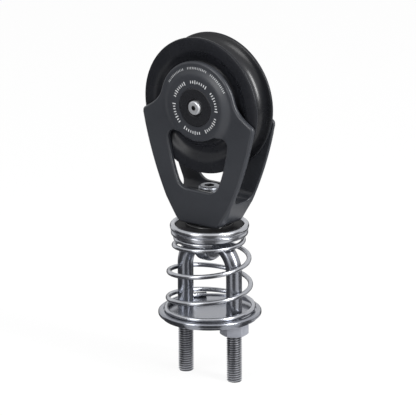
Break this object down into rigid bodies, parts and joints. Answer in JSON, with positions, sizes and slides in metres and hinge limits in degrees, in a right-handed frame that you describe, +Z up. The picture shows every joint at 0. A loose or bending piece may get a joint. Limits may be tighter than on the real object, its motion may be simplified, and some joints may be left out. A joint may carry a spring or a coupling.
{
  "type": "stand-up block",
  "caption": "Upright deck block: grooved sheave in a one-piece fork, on a swivel eye round a U-bolt, held up by a conical spring.",
  "frame": {"origin": "on the block's upright centre line, level with the lower ends of the two studs", "axes": "+Z up along the swivel axis; X along the line of the two studs and in the sheave's plane; Y along the sheave's axle, the pictured face towards -Y"},
  "size_m": [0.072, 0.0538, 0.184],
  "materials": {
    "dark_anodised": "satin dark anodised",
    "black_anodised": "satin black anodised",
    "bright_aluminium": "turned",
    "bright_screw": "bright stainless",
    "polished_steel": "polished stainless",
    "spring_steel": "drawn stainless wire",
    "nut_steel": "plain stainless",
    "black_plastic": "smooth black",
    "roller_plastic": "smooth amber brown"
  },
  "bodies": {
    "deck_base": {"u_bolt": "polished_steel", "base_plate": "polished_steel", "left_nut": "nut_steel", "right_nut": "nut_steel", "spring": "spring_steel"},
    "swivel_head": {"swivel_eye": "polished_steel", "swivel_screw": "bright_screw", "swivel_washer": "bright_screw", "upper_cup": "polished_steel", "cup_pad": "black_plastic"},
    "block": {"frame": "dark_anodised", "axle": "bright_aluminium", "front_axle_cap": "dark_anodised", "back_axle_cap": "dark_anodised", "front_axle_screw": "bright_screw", "back_axle_screw": "bright_screw", "swivel_bush": "black_plastic"},
    "roller_ring": {"bearing_rollers": "roller_plastic", "roller_cage": "black_plastic"},
    "sheave_wheel": {"sheave": "black_anodised", "front_thrust_ring": "black_plastic", "back_thrust_ring": "black_plastic"}
  },
  "joints": [
    {"name": "tip", "type": "hinge", "parent": "deck_base", "child": "swivel_head", "pos_m": [0, 0, 0.07425], "axis": [1, 0, 0], "range_deg": [-35, 35], "stiffness_Nm_per_rad": 2, "deforming": ["spring"]},
    {"name": "swivel", "type": "hinge", "parent": "swivel_head", "child": "block", "pos_m": [0, 0, 0.0905], "axis": [0, 0, 1], "continuous": true},
    {"name": "sheave_spin", "type": "hinge", "parent": "block", "child": "sheave_wheel", "pos_m": [0, 0, 0.148], "axis": [0, 1, 0], "continuous": true},
    {"name": "roller_creep", "type": "hinge", "parent": "block", "child": "roller_ring", "pos_m": [0, 0, 0.148], "axis": [0, 1, 0], "continuous": true}
  ],
  "couplings": [
    {"joint": "roller_creep", "follows": "sheave_spin", "ratio": 0.5837}
  ]
}
